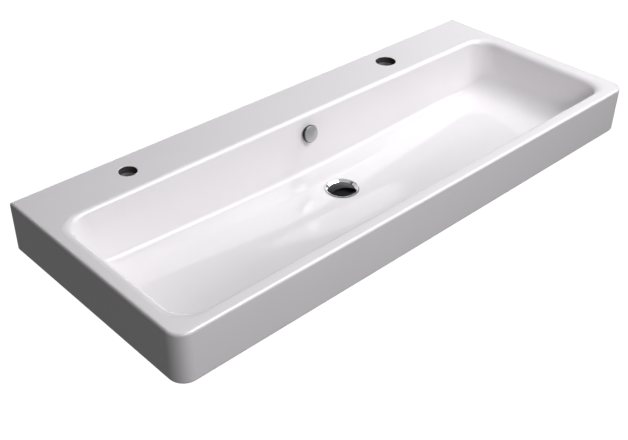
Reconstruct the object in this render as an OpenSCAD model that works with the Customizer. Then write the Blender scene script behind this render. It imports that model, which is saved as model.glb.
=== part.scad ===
/*
 Wall-hung trough basin in glazed ceramic, with its overflow cap and its
 press-to-open waste. The frame has X along the wall, Y towards the wall and
 Z up. The origin is on the wall face, midway between the inner pair of
 wall-fixing holes.
*/

/* [Basin body] */
// Width along the wall
basin_w = 1200; // [1000:10:1400]
// Depth from the wall to the front face
basin_d = 480; // [440:5:560]
// Height of the visible apron
apron_h = 102; // [90:1:130]
// Radius of the two upright front corners
front_corner_r = 30; // [15:1:45]
// Radius of the top and bottom outer edges
edge_r = 4; // [2:0.5:6]
// Thickness of the apron wall
apron_t = 18; // [14:0.5:20]
// Thickness of the wall that lies against the room wall
rear_t = 20; // [16:0.5:26]
// Thickness of the tap deck
deck_t = 14; // [10:0.5:18]
// Height of the deck above the wall-fixing holes
fix_drop = 60; // [45:1:70]

/* [Bowl] */
// Depth of the flat tap deck, from the wall to the lip
deck_d = 103; // [90:1:120]
// Width of the flat rim at the ends and the front
rim_w = 20; // [16:0.5:30]
// Radius of the lip where deck and front rim turn into the bowl
lip_r = 10; // [5:0.5:14]
// Radius of the softer lip at the two ends
end_lip_r = 18; // [10:0.5:24]
// Depth of the floor at its outer edge
bowl_depth = 103; // [90:1:115]
// Fall of the floor from its edge to the waste
floor_fall = 22; // [14:0.5:26]
// Extra depth of the floor's rear edge beside the waste
rear_sag = 14; // [4:0.5:18]
// Lean of the rear wall in degrees
rear_draft = 14; // [8:0.5:18]
// Lean of the end walls in degrees
end_draft = 12; // [6:0.5:18]
// Lean of the front wall in degrees
front_draft = 8; // [5:0.5:14]
// Fillet between rear wall and floor
rear_fillet = 12; // [8:0.5:16]
// Fillet between end walls and floor
end_fillet = 60; // [40:1:70]
// Fillet between front wall and floor
front_fillet = 36; // [20:1:45]
// Corner radius of the bowl at the rim
mouth_corner_r = 48; // [30:1:60]
// Corner radius of the floor at the rear
rear_foot_r = 34; // [24:1:45]
// Corner radius of the floor at the front
front_foot_r = 58; // [40:1:75]
// Thickness of the bowl
bowl_t = 11; // [8:0.5:13]

/* [Tap and wall holes] */
// Diameter of the left tap hole
tap_left_d = 35; // [30:0.5:38]
// Diameter of the right tap hole
tap_right_d = 45; // [30:0.5:48]
// Distance of the tap holes from the wall
tap_y = 50; // [42:1:60]
// Distance of the left tap hole from the middle
tap_left_x = 388; // [300:1:420]
// Distance of the right tap hole from the middle
tap_right_x = 304; // [250:1:420]
// Diameter of the wall-fixing holes
fix_hole_d = 22; // [14:0.5:28]
// Distance between the inner pair of wall-fixing holes
fix_inner_gap = 280; // [200:1:320]
// Distance between the outer pair of wall-fixing holes
fix_outer_gap = 900; // [800:1:960]
// Thickness of the two webs behind the bowl
web_t = 12; // [8:0.5:16]
// Distance between the two webs
web_gap = 420; // [360:1:480]

/* [Overflow] */
// Depth of the overflow hole below the deck, at the bowl's rear wall
over_drop = 39.5; // [32:0.5:46]
// Diameter of the overflow hole
over_hole_d = 24; // [20:0.5:28]
// Diameter of the overflow cap
over_cap_d = 37; // [32:0.5:42]
// Thickness of the overflow cap
over_cap_t = 3; // [2:0.1:4]
// Water gap behind the overflow cap
over_gap = 5.5; // [3:0.1:7]
// Inner width of the overflow duct
duct_w = 44; // [30:1:56]
// Inner depth of the overflow duct
duct_d = 12; // [8:0.5:14]
// Thickness of the duct's shell
duct_t = 9; // [6:0.5:12]

/* [Waste] */
// Distance of the waste from the wall
waste_y = 222; // [214:1:250]
// Diameter of the waste flange
flange_d = 70; // [66:0.5:76]
// Diameter of the ceramic waste hole
waste_hole_d = 46; // [44:0.5:48]
// Outer diameter of the threaded tail
tail_d = 41.9; // [40:0.1:42.5]
// Bore of the threaded tail
tail_bore = 37; // [35:0.5:38]
// Length of the tail below the bowl floor
tail_l = 84; // [80:1:100]
// Depth of the ceramic under the floor at the waste
boss_h = 44; // [40:0.5:48]
// Diameter of the ceramic boss round the waste
boss_d = 88; // [80:1:100]
// Diameter of the plug
plug_d = 54; // [50:0.5:56]
// Height of the plug's crown
crown_h = 4; // [3:0.1:5]
// Width across the flats of the backnut
backnut_af = 54; // [50:0.5:60]
// Height of the backnut
backnut_h = 8.5; // [6:0.5:12]
// Width of the thread run-out under the backnut
runout_w = 1.5; // [1:0.1:2.5]
// Chamfer at the end of the tail
tail_chamfer = 1; // [0.5:0.1:1.5]
// Height of the gasket under the boss
gasket_h = 6; // [4:0.5:8]
// Thickness of the slip washer
slip_t = 1.5; // [1:0.1:2.5]

/* [Press mechanism] */
// Travel of the plug between shut and open
stroke = 9; // [7:0.5:10]
// Turn of the index ring over the stroke in degrees
index_turn = 45; // [30:1:60]
// Diameter of the plunger
plunger_d = 8.8; // [8:0.1:9.4]
// Outer diameter of the cartridge barrel
barrel_d = 16; // [15:0.5:20]
// Bore of the barrel round the index ring
ring_bore = 12.6; // [12:0.1:13]
// Bore of the barrel round the spring
spring_bore = 9.8; // [9.6:0.1:10.4]
// Wire diameter of the return spring
spring_wire = 0.9; // [0.7:0.05:1.1]
// Number of turns of the return spring
spring_turns = 6; // [5:1:8]
// Diameter of the index pins
index_pin_d = 2.4; // [2:0.1:2.8]

/* [Hidden] */

// Smoothness of true rounds
$fn = 64;
// Overrun of every cut
over = 1;
// Clearance of a running fit
run_gap = 0.05;
// Clearance between pieces that must not touch
rest_gap = 0.3;

// Heights, from the wall-fixing holes up
deck_z = fix_drop;
floor_z = deck_z - bowl_depth - floor_fall;

// Colours
ceramic_tone = [0.95, 0.95, 0.95];
chrome_tone = [0.78, 0.79, 0.8];
brass_tone = [0.79, 0.66, 0.36];
steel_tone = [0.66, 0.67, 0.68];
rubber_tone = [0.13, 0.13, 0.14];
resin_tone = [0.88, 0.88, 0.86];

// First slope of the lip and last slope of the fillets, in degrees
lip_start = 15;
floor_tilt = 3;
// Steps of the bowl's mesh down its sides and round its rings
lip_steps = 4;
wall_steps = 2;
fillet_steps = 7;
floor_steps = 7;
corner_steps = 7;
long_steps = 12;
short_steps = 5;
// Coarser steps for the hidden underside
under_floor_steps = 4;
under_corner_steps = 5;
under_long_steps = 8;
under_short_steps = 3;
// Share of a floor's span over which its slope sets in
soft_share = 0.3;
// Level ring of floor round the waste flange
level_w = 3;
level_r = flange_d/2 + level_w;
// Mouth of the bowl, where the flat rim ends
mouth_x = basin_w/2 - rim_w;
mouth_rear = -deck_d;
mouth_front = -(basin_d - rim_w);

function mix(a, b, t) = a + (b - a)*t;
function ease(t) = t*t*(3 - 2*t);
function reverse(list) = [for (i = [len(list) - 1:-1:0]) list[i]];

// Length of the straight wall between lip and fillet
function wall_l(lip, draft, fillet, depth) =
    (depth - fillet*(cos(floor_tilt) - sin(draft)) - lip*(1 - sin(draft)))/cos(draft);
// Inset of the fillet's foot from the mouth
function foot_in(lip, draft, fillet, depth) =
    lip*cos(draft) + wall_l(lip, draft, fillet, depth)*sin(draft)
    + fillet*(cos(draft) - sin(floor_tilt));
function lip_at(lip, a) = [lip*sin(a), lip*(1 - cos(a))];
function wall_at(lip, draft, l) =
    lip_at(lip, 90 - draft) + [l*sin(draft), l*cos(draft)];
function fillet_at(lip, draft, fillet, depth, a) =
    [foot_in(lip, draft, fillet, depth) + fillet*(sin(floor_tilt) - sin(a)),
     depth - fillet*(cos(floor_tilt) - cos(a))];
// Profile of one side, from above the rim to the foot of its fillet
function side_profile(lip, draft, fillet, depth) = [
    lip_at(lip, lip_start) - (over + lip_at(lip, lip_start)[1])*[1/tan(lip_start), 1],
    for (i = [0:lip_steps]) lip_at(lip, mix(lip_start, 90 - draft, i/lip_steps)),
    for (i = [1:wall_steps])
        wall_at(lip, draft, wall_l(lip, draft, fillet, depth)*i/wall_steps),
    for (i = [1:fillet_steps])
        fillet_at(lip, draft, fillet, depth, mix(90 - draft, floor_tilt, i/fillet_steps))];

// Places round a ring: corner, share of its arc, share of the side after it
function places(corners, longs, shorts) = [
    for (q = [0:3]) each concat(
        [for (i = [0:corners]) [q, i/corners, 0]],
        [for (n = q % 2 == 0 ? longs : shorts, i = [1:n - 1]) [q, 1, i/n]])];
function arc_point(q, turn, half_x, rear, front, rear_r, front_r) =
    let (r = q < 2 ? rear_r : front_r)
    [(q % 3 == 0 ? 1 : -1)*(half_x - r) + r*cos(90*(q + turn)),
     (q < 2 ? rear - r : front + r) + r*sin(90*(q + turn))];
function ring_point(s, half_x, rear, front, rear_r, front_r) =
    mix(arc_point(s[0], s[1], half_x, rear, front, rear_r, front_r),
        arc_point((s[0] + 1) % 4, 0, half_x, rear, front, rear_r, front_r), s[2]);
// Value at a place, from the values at the right, rear, left and front
function side_value(s, v) =
    s[2] > 0 ? v[(s[0] + 1) % 4] : mix(v[s[0]], v[(s[0] + 1) % 4], ease(s[1]));

// Floor: a shallow valley along the wall that deepens towards the waste
function soft(w, span) = w <= 0 ? 0 : w*w/(w + soft_share*span);
function fade(w, span) = 1 - min(1, soft(w, span)/soft(span, span));
foot_x = mouth_x - foot_in(end_lip_r, end_draft, end_fillet, bowl_depth);
foot_rear = mouth_rear - foot_in(lip_r, rear_draft, rear_fillet, bowl_depth);
foot_front = mouth_front + foot_in(lip_r, front_draft, front_fillet, bowl_depth);
function along(x) = fade(abs(x) - level_r, foot_x - level_r);
function across(y) = y > -waste_y
    ? fade(y + waste_y - level_r, foot_rear + waste_y - level_r)
    : fade(-waste_y - y - level_r, -waste_y - level_r - foot_front);
function floor_depth(x, y) = bowl_depth
    + along(x)*mix(y > -waste_y ? rear_sag : 0, floor_fall, across(y));

// Rings of the bowl surface, grown outwards and downwards by a thickness
function wall_rings(stations, grow, first) =
    let (ends = side_profile(end_lip_r, end_draft, end_fillet, bowl_depth),
         rear = side_profile(lip_r, rear_draft, rear_fillet, bowl_depth),
         front = side_profile(lip_r, front_draft, front_fillet, bowl_depth),
         last = len(ends) - 1)
    [for (k = [first:last])
        [for (s = stations)
            let (p = ring_point(s, mouth_x + grow - ends[k][0],
                                mouth_rear + grow - rear[k][0],
                                mouth_front - grow + front[k][0],
                                mix(mouth_corner_r, rear_foot_r, k/last) + grow,
                                mix(mouth_corner_r, front_foot_r, k/last) + grow),
                 sag = side_value(s, [0, rear_sag, 0, 0])*along(p[0])/bowl_depth,
                 d = side_value(s, [ends[k][1], rear[k][1], ends[k][1], front[k][1]]))
            [p[0], p[1], -d - max(0, d)*(sag + grow/bowl_depth)]]];
function floor_rings(foot, grow, steps) =
    [for (k = [1:steps])
        [for (f = foot)
            let (t = k/steps,
                 away = [f[0], f[1] + waste_y],
                 near = away*level_r/norm(away),
                 p = mix(away, near, t),
                 miss = f[2] + grow + floor_depth(f[0], f[1]))
            [p[0], p[1] - waste_y,
             miss*(1 - t) - grow - floor_depth(p[0], p[1] - waste_y)]]];
// Closed solid through a stack of rings, top ring first, with a fan at each end
function centre(ring) = [for (q = ring) 1/len(ring)]*ring;
module ring_stack(rings) {
    n = len(rings[0]);
    m = len(rings);
    polyhedron(
        points = concat([for (r = rings) each r], [centre(rings[0]), centre(rings[m - 1])]),
        faces = concat(
            [for (i = [0:n - 1]) [(i + 1) % n, i, m*n]],
            [for (k = [0:m - 2], i = [0:n - 1]) each
                let (a = k*n + i, b = k*n + (i + 1) % n)
                [[a, b, b + n], [a, b + n, a + n]]],
            [for (i = [0:n - 1]) [(m - 1)*n + i, (m - 1)*n + (i + 1) % n, m*n + 1]]),
        convexity = 10);
}
module bowl_hollow() {
    stations = places(corner_steps, long_steps, short_steps);
    walls = wall_rings(stations, 0, 0);
    ring_stack(concat(walls, floor_rings(walls[len(walls) - 1], 0, floor_steps)));
}
module bowl_outside() {
    stations = places(under_corner_steps, under_long_steps, under_short_steps);
    walls = wall_rings(stations, bowl_t, lip_steps + 1);
    top = [for (p = walls[0]) [p[0], p[1], -deck_t/2]];
    ring_stack(concat([top], [for (k = [1:len(walls) - 1]) walls[k]],
                      floor_rings(walls[len(walls) - 1], bowl_t, under_floor_steps)));
}

// Outline of the body, drawn in by an inset
module body_outline(inset, rear_inset) {
    r = front_corner_r - min(inset, front_corner_r/2);
    w = basin_w - 2*inset;
    translate([-w/2, -(basin_d - inset - r)])
        square([w, basin_d - inset - r - rear_inset]);
    translate([-w/2 + r, -(basin_d - inset)])
        square([w - 2*r, basin_d - inset - rear_inset]);
    for (side = [-1, 1])
        translate([side*(w/2 - r), -(basin_d - inset - r)]) circle(r);
}
// Sliver outside a rounded edge, which meets the faces at a slight angle
edge_share = 0.95;
module edge_sliver() {
    difference() {
        translate([-edge_r, -edge_r]*edge_share) square(edge_r + over);
        translate([-edge_r, -edge_r]*edge_share) circle(edge_r);
    }
}
// Cutter that rounds the top edge of the body on its three open sides
module edge_cutter() {
    straight_y = basin_d - front_corner_r;
    straight_x = basin_w - 2*front_corner_r;
    for (side = [0, 1]) mirror([side, 0, 0]) {
        translate([basin_w/2, over, 0])
            rotate([90, 0, 0]) linear_extrude(straight_y + over) edge_sliver();
        translate([basin_w/2 - front_corner_r, -straight_y, 0])
            rotate([0, 0, -90]) rotate_extrude(angle = 90)
                translate([front_corner_r, 0]) edge_sliver();
    }
    translate([-straight_x/2, -basin_d, 0])
        rotate([90, 0, 90]) linear_extrude(straight_x) mirror([1, 0]) edge_sliver();
}
module body_shell() {
    difference() {
        translate([0, 0, -apron_h]) linear_extrude(apron_h) body_outline(0, 0);
        translate([0, 0, -apron_h - over]) linear_extrude(apron_h + over - deck_t)
            body_outline(apron_t, rear_t);
        edge_cutter();
        translate([0, 0, -apron_h]) mirror([0, 0, 1]) edge_cutter();
    }
}

// Overflow: place on the rear wall, which the sag stretches, and duct to the waste
wall_stretch = 1 + rear_sag/bowl_depth;
wall_lean = atan(tan(rear_draft)/wall_stretch);
over_y = mouth_rear - lip_r*cos(rear_draft)
    - (over_drop/wall_stretch - lip_r*(1 - sin(rear_draft)))*tan(rear_draft);
function shell_y(drop) = over_y + bowl_t/cos(wall_lean) - (drop - over_drop)*tan(wall_lean);
web_y = shell_y(apron_h) - bowl_t/2;
duct_head = 2;
duct_top = over_drop - over_hole_d/2 - duct_head;
duct_roof = bowl_depth + floor_fall + boss_h/2 - duct_head;
duct_floor = duct_roof + duct_d;
// Outline of the duct in its middle plane, drawn out by a thickness
module duct_outline(out) {
    polygon([[shell_y(duct_top) - (out > 0 ? bowl_t/2 : 0), -duct_top + out],
             [shell_y(duct_top) + duct_d + out, -duct_top + out],
             [shell_y(duct_floor) + duct_d + out, -duct_floor - out],
             [-waste_y, -duct_floor - out],
             [-waste_y, -duct_roof + out],
             [shell_y(bowl_depth) - rear_fillet - (out > 0 ? bowl_t/2 : 0), -duct_roof + out],
             [shell_y(bowl_depth) - (out > 0 ? bowl_t/2 : 0), -bowl_depth]]);
}
module duct(width, out) {
    translate([-width/2, 0, 0]) rotate([90, 0, 90])
        linear_extrude(width) duct_outline(out);
}
module at_overflow() {
    translate([0, over_y, deck_z - over_drop]) rotate([90 - wall_lean, 0, 0])
        translate([0, 0, run_gap]) children();
}
module at_waste() {
    translate([0, -waste_y, floor_z]) children();
}

// Waste seat: a dished recess in the floor, then the hole
flange_lap = 1.8;
seat_r = flange_d/2 - flange_lap;
seat_drop = 12;
seat_step = 1.5;
module basin() {
    color(ceramic_tone) difference() {
        union() {
            translate([0, 0, deck_z]) {
                body_shell();
                bowl_outside();
                duct(duct_w + 2*duct_t, duct_t);
                for (side = [-1, 1])
                    translate([side*web_gap/2 - web_t/2, web_y, -apron_h + edge_r])
                        cube([web_t, -rear_t/2 - web_y, apron_h - edge_r - deck_t/2]);
            }
            at_waste() translate([0, 0, -boss_h])
                cylinder(d = boss_d, h = boss_h - bowl_t/2);
        }
        translate([0, 0, deck_z]) {
            bowl_hollow();
            duct(duct_w, 0);
            for (tap = [[-tap_left_x, tap_left_d], [tap_right_x, tap_right_d]])
                translate([tap[0], -tap_y, -deck_t - over])
                    cylinder(d = tap[1], h = deck_t + 2*over);
        }
        for (gap = [fix_inner_gap, fix_outer_gap], side = [-1, 1])
            translate([side*gap/2, over, 0]) rotate([90, 0, 0])
                cylinder(d = fix_hole_d, h = rear_t + 2*over);
        at_overflow() translate([0, 0, -bowl_t - duct_d/2])
            cylinder(d = over_hole_d, h = bowl_t + duct_d/2 + lip_r);
        at_waste() {
            translate([0, 0, -boss_h - over])
                cylinder(d = waste_hole_d, h = boss_h + 2*over);
            rotate_extrude() polygon([[0, over], [seat_r, over], seat_point(0),
                seat_point(1), [0, -seat_drop]]);
        }
    }
}

// Overflow fittings, in the frame of the overflow hole: Z out of the wall
collar_lap = 2.5;
collar_r = over_hole_d/2 + collar_lap;
collar_t = 1.5;
gasket_t = 1;
sleeve_r = over_hole_d/2 - rest_gap;
sleeve_t = 1.4;
fingers = 4;
hub_r = 3.6;
stem_r = 2;
cap_z = gasket_t + collar_t + over_gap;
module overflow_gasket() {
    color(rubber_tone) at_overflow() difference() {
        cylinder(r = collar_r, h = gasket_t);
        translate([0, 0, -over]) cylinder(r = sleeve_r - sleeve_t/2, h = gasket_t + 2*over);
    }
}
module overflow_body() {
    color(resin_tone) at_overflow() {
        difference() {
            union() {
                translate([0, 0, gasket_t]) cylinder(r = collar_r, h = collar_t);
                translate([0, 0, -bowl_t])
                    cylinder(r = sleeve_r - sleeve_t/2 - rest_gap, h = bowl_t + gasket_t);
                translate([0, 0, -bowl_t]) cylinder(r = sleeve_r, h = sleeve_t);
            }
            translate([0, 0, -bowl_t - over])
                cylinder(r = sleeve_r - sleeve_t - rest_gap, h = bowl_t + gasket_t + collar_t + 2*over);
            for (i = [0:fingers - 1]) rotate([0, 0, 45 + 360/fingers*i])
                translate([0, -sleeve_t, -bowl_t - over])
                    cube([over_hole_d, 2*sleeve_t, bowl_t]);
        }
        difference() {
            union() {
                translate([0, 0, -hub_r]) cylinder(r = hub_r, h = hub_r + gasket_t + collar_t);
                for (i = [0:fingers - 1]) rotate([0, 0, 360/fingers*i])
                    translate([0, -sleeve_t/2, gasket_t])
                        cube([sleeve_r - sleeve_t, sleeve_t, collar_t]);
            }
            translate([0, 0, -hub_r - over])
                cylinder(r = stem_r + run_gap, h = 2*hub_r + gasket_t + collar_t + over);
        }
    }
}
module overflow_cap() {
    edge = over_cap_t/4;
    color(chrome_tone) at_overflow() rotate_extrude() polygon([
        [0, -hub_r + over_cap_t/2], [stem_r, -hub_r + over_cap_t/2], [stem_r, cap_z],
        [over_cap_d/2 - edge, cap_z], [over_cap_d/2, cap_z + edge],
        [over_cap_d/2, cap_z + over_cap_t - edge],
        [over_cap_d/2 - edge, cap_z + over_cap_t],
        [0, cap_z + over_cap_t]]);
}

// Waste flange and tail: profile of the dish, radius and height from the floor
throat_r = tail_bore/2;
tail_r = tail_d/2;
rim_r = flange_d/2;
dish_t = 2.6;
throat_z = -8.6;
washer_t = 1.4;
slot_w = 14;
slots = 2;
rim_round = 0.8;
rim_step = 2.2;
under_drop = 0.2;
// Points down the dish, as shares of its width and of its drop
dish_shares = [[0.06, 0.16], [0.2, 0], [0.42, 0.42], [0.55, 0.56], [0.76, 0.82], [1, 1]];
rim_top = 1.8;
function dish_point(s) = [mix(rim_r, throat_r, s[0]), mix(rim_top, throat_z, s[1])];
function under_point(t) = [mix(rim_r - rim_step, tail_r + washer_t, t),
                           mix(-under_drop, throat_z - dish_t/2, t)];
module waste_body() {
    color(chrome_tone) at_waste() difference() {
        rotate_extrude() polygon(concat(
            [[rim_r, rest_gap], [rim_r, rim_top - rim_round]],
            [for (s = dish_shares) dish_point(s)],
            [[throat_r, -tail_l], [tail_r - tail_chamfer, -tail_l],
             [tail_r, -tail_l + tail_chamfer], [tail_r, nut_z - runout_w],
             [tail_r - runout_w/2, nut_z - runout_w], [tail_r - runout_w/2, nut_z],
             [tail_r, nut_z], [tail_r, throat_z - dish_t]],
            [for (t = [1, 0.5, 0]) under_point(t)],
            [[rim_r - rim_step, rest_gap]]));
        for (i = [0:slots - 1]) rotate([0, 0, 360/slots*i])
            translate([0, 0, -(duct_roof + duct_floor)/2 + bowl_depth + floor_fall])
                rotate([90, 0, 90]) round_slot(slot_w, duct_d, tail_d);
    }
}
// Slot with round ends, cut along Z of its own frame
module round_slot(w, h, l) {
    linear_extrude(l) {
        translate([-(w - h)/2, -h/2]) square([w - h, h]);
        for (side = [-1, 1]) translate([side*(w - h)/2, 0]) circle(d = h);
    }
}
// Tapered washer between the dish and the ceramic seat, as shares of their slopes
washer_shares = [0.25, 0.9];
seat_shares = [0.25, 0.8];
washer_gap = 0.1;
function seat_point(t) = [mix(seat_r, waste_hole_d/2 + seat_step, t), -seat_drop*t];
module seat_washer() {
    color(rubber_tone) at_waste() rotate_extrude() polygon([
        for (t = washer_shares) under_point(t) - [0, washer_gap],
        for (t = reverse(seat_shares)) seat_point(t) - [washer_gap, 0]]);
}
module ring(r_out, r_in, z, h) {
    translate([0, 0, z]) difference() {
        cylinder(r = r_out, h = h);
        translate([0, 0, -over]) cylinder(r = r_in, h = h + 2*over);
    }
}
gasket_z = -boss_h - gasket_h;
slip_z = gasket_z - slip_t;
nut_z = slip_z - backnut_h;
gasket_inset = 10;
gasket_r = boss_d/2 - gasket_inset;
module waste_gasket() {
    color(rubber_tone) at_waste() rotate_extrude() polygon([
        [tail_r + run_gap, gasket_z], [gasket_r - gasket_h/2, gasket_z],
        [gasket_r, -boss_h], [tail_r + run_gap, -boss_h]]);
}
module slip_washer() {
    color(resin_tone) at_waste() ring(gasket_r - gasket_h/2, tail_r + run_gap, slip_z, slip_t);
}
nut_collar_h = 1.5;
nut_collar_w = 1.5;
module backnut() {
    color(brass_tone) at_waste() translate([0, 0, nut_z]) difference() {
        union() {
            cylinder(d = backnut_af/cos(30), h = backnut_h - nut_collar_h, $fn = 6);
            cylinder(d = backnut_af + 2*nut_collar_w, h = backnut_h);
        }
        translate([0, 0, -over]) cylinder(r = tail_r + run_gap, h = backnut_h + 2*over);
    }
}

// Press mechanism, stacked down from the plug
plug_rim_z = -2.9;
plug_edge = 1.3;
cap_t = 1.6;
hub_stem_r = 7.5;
hub_end_z = -16;
screw_step = 0.45;
screw_r = plunger_d/2 - screw_step;
screw_end_gap = 1;
barrel_top = hub_end_z - stroke;
bush_flange = 1.5;
bush_l = 4.5;
ring_h = 4;
barrel_r = barrel_d/2;
ring_z = barrel_top - bush_flange - bush_l - rest_gap - ring_h;
ring_to_spring = 12;
spring_top = ring_z - ring_to_spring;
spring_l = 10;
spring_foot = spring_top - spring_l;
barrel_floor = 2;
bridge_top = spring_foot - barrel_floor;
bridge_h = 5;
bridge_arm_h = 4;
bridge_arm_w = 5;
bridge_wall = 3;
bridge_hub_wall = 1;
neck_r = 5;
locknut_h = 4.5;
locknut_af = 17;
neck_end = 4;
neck_l = bridge_h + locknut_h + neck_end;
bridge_arms = 3;

module cartridge_bridge() {
    color(brass_tone) at_waste() {
        ring(throat_r - run_gap, throat_r - bridge_wall, bridge_top - bridge_h, bridge_h);
        translate([0, 0, bridge_top - bridge_h]) difference() {
            union() {
                cylinder(r = barrel_r + bridge_hub_wall, h = bridge_h);
                for (i = [0:bridge_arms - 1]) rotate([0, 0, 90 + 360/bridge_arms*i])
                    translate([0, -bridge_arm_w/2, (bridge_h - bridge_arm_h)/2])
                        cube([throat_r - bridge_wall/2, bridge_arm_w, bridge_arm_h]);
            }
            translate([0, 0, -over]) cylinder(r = neck_r + run_gap, h = bridge_h + 2*over);
        }
    }
}
module cartridge_barrel() {
    color(chrome_tone) at_waste() difference() {
        union() {
            translate([0, 0, bridge_top])
                cylinder(r = barrel_r, h = barrel_top - bush_flange - bridge_top);
            translate([0, 0, bridge_top - neck_l]) cylinder(r = neck_r, h = neck_l + over);
        }
        translate([0, 0, spring_foot]) cylinder(d = spring_bore, h = barrel_top - spring_foot);
        translate([0, 0, ring_z - rest_gap]) cylinder(d = ring_bore, h = barrel_top - ring_z);
    }
}
module cartridge_locknut() {
    color(brass_tone) at_waste() translate([0, 0, bridge_top - bridge_h - locknut_h])
        difference() {
            cylinder(d = locknut_af/cos(30), h = locknut_h, $fn = 6);
            translate([0, 0, -over]) cylinder(r = neck_r + run_gap, h = locknut_h + 2*over);
        }
}
module guide_bush() {
    color(brass_tone) at_waste() translate([0, 0, barrel_top - bush_flange]) difference() {
        union() {
            cylinder(r = barrel_r, h = bush_flange);
            translate([0, 0, -bush_l]) cylinder(r = ring_bore/2 - run_gap/2, h = bush_l + over);
        }
        translate([0, 0, -bush_l - over])
            cylinder(r = plunger_d/2 + run_gap, h = bush_l + bush_flange + 2*over);
    }
}
// The ring's pins ride in two helical grooves of the plunger
groove_depth = 1.3;
groove_gap = 0.25;
groove_cuts = 12;
pin_z = ring_z + ring_h/2;
module index_ring() {
    color(steel_tone) at_waste() difference() {
        ring(ring_bore/2 - run_gap, plunger_d/2 + rest_gap/2, ring_z, ring_h);
        translate([0, 0, pin_z]) rotate([0, 90, 0])
            cylinder(d = index_pin_d + run_gap, h = 2*ring_bore, center = true);
    }
}
module index_pins() {
    tip = plunger_d/2 - groove_depth + groove_gap;
    color(chrome_tone) at_waste() translate([0, 0, pin_z])
        for (side = [0, 180]) rotate([0, 0, side]) translate([tip, 0, 0]) rotate([0, 90, 0])
            cylinder(d = index_pin_d, h = ring_bore/2 - rest_gap - tip);
}
module plunger() {
    color(steel_tone) at_waste() difference() {
        union() {
            translate([0, 0, spring_top]) cylinder(d = plunger_d, h = hub_end_z - spring_top);
            translate([0, 0, hub_end_z - over])
                cylinder(r = screw_r, h = plug_rim_z - screw_end_gap - hub_end_z + over);
        }
        for (i = [0:groove_cuts], side = [0, 180])
            translate([0, 0, pin_z - stroke*i/groove_cuts])
                rotate([0, 0, side - index_turn*i/groove_cuts])
                    translate([plunger_d/2 - groove_depth, 0, 0]) rotate([0, 90, 0])
                        cylinder(d = index_pin_d + 2*groove_gap, h = plunger_d);
    }
}
// Spring as one tube along a helix with closed ends
coil_r = spring_bore/2 - spring_wire/2 - rest_gap;
turn_sides = 16;
wire_sides = 6;
spring_end_share = 0.12;
function spring_height(t) =
    let (free = spring_l - spring_wire - 2*run_gap, e = spring_end_share)
    spring_wire/2 + run_gap + (t < e ? t*t/(2*e) : t > 1 - e ? 1 - e - (1 - t)*(1 - t)/(2*e) : t - e/2)
        *free/(1 - e);
module return_spring() {
    n = spring_turns*turn_sides;
    rings = [for (i = [0:n])
        [for (j = [0:wire_sides - 1])
            let (a = 360*i/turn_sides, b = -360*j/wire_sides,
                 r = coil_r + spring_wire/2*cos(b))
            [r*cos(a), r*sin(a), spring_height(i/n) + spring_wire/2*sin(b)]]];
    color(steel_tone) at_waste() translate([0, 0, spring_foot]) ring_stack(rings);
}

// Plug: domed cap, seal ring and the hub that the plunger screws into
plug_r = plug_d/2;
skirt_t = 2.6;
cap_bore_r = plug_r - skirt_t;
dome_steps = 10;
function dome(r, rise, z) = [for (i = [0:dome_steps])
    let (a = i/dome_steps) [r*a, z + rise*(1 - a*a)]];
module plug_cap() {
    color(chrome_tone) at_waste() rotate_extrude() polygon(concat(
        dome(plug_r - plug_edge/2, crown_h, plug_rim_z + plug_edge),
        [[plug_r, plug_rim_z + plug_edge/2], [plug_r, plug_rim_z],
         [cap_bore_r + run_gap, plug_rim_z], [cap_bore_r + run_gap, plug_rim_z + plug_edge/2]],
        reverse(dome(cap_bore_r, crown_h - cap_t, plug_rim_z + plug_edge))));
}
seal_drop = 2.2;
seal_inset = 1.1;
spool_inset = 7.4;
spool_r = plug_r - spool_inset;
spool_lip = 1;
module plug_seal() {
    color(rubber_tone) at_waste() rotate_extrude() polygon([
        [spool_r + run_gap, plug_rim_z - run_gap], [plug_r - seal_inset, plug_rim_z - run_gap],
        [plug_r - seal_inset, plug_rim_z - seal_drop/3], [spool_r + seal_drop, plug_rim_z - seal_drop],
        [spool_r + run_gap, plug_rim_z - seal_drop]]);
}
module plug_hub() {
    color(resin_tone) at_waste() difference() {
        rotate_extrude() polygon([
            [0, plug_rim_z + plug_edge/2], [cap_bore_r, plug_rim_z + plug_edge/2], [cap_bore_r, plug_rim_z],
            [spool_r, plug_rim_z], [spool_r, plug_rim_z - seal_drop - run_gap],
            [spool_r + spool_lip, plug_rim_z - seal_drop - run_gap],
            [spool_r + spool_lip, plug_rim_z - seal_drop - spool_lip],
            [hub_stem_r, plug_rim_z - seal_drop - 2*spool_lip], [hub_stem_r, hub_end_z],
            [0, hub_end_z]]);
        translate([0, 0, hub_end_z - over])
            cylinder(r = screw_r + run_gap,
                     h = plug_rim_z - screw_end_gap - hub_end_z + over + run_gap);
    }
}

basin();
overflow_gasket();
overflow_body();
overflow_cap();
seat_washer();
waste_body();
waste_gasket();
slip_washer();
backnut();
cartridge_bridge();
cartridge_barrel();
cartridge_locknut();
guide_bush();
index_ring();
index_pins();
return_spring();
plunger();
plug_hub();
plug_seal();
plug_cap();
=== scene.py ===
"""Dresses a wall-hung trough basin: glazed ceramic, chromed waste and overflow, press mechanism."""

import math
from collections import Counter

import bmesh
import bpy
from bpy.props import FloatProperty, FloatVectorProperty, IntProperty, PointerProperty
from mathutils import Matrix, Vector


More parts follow.
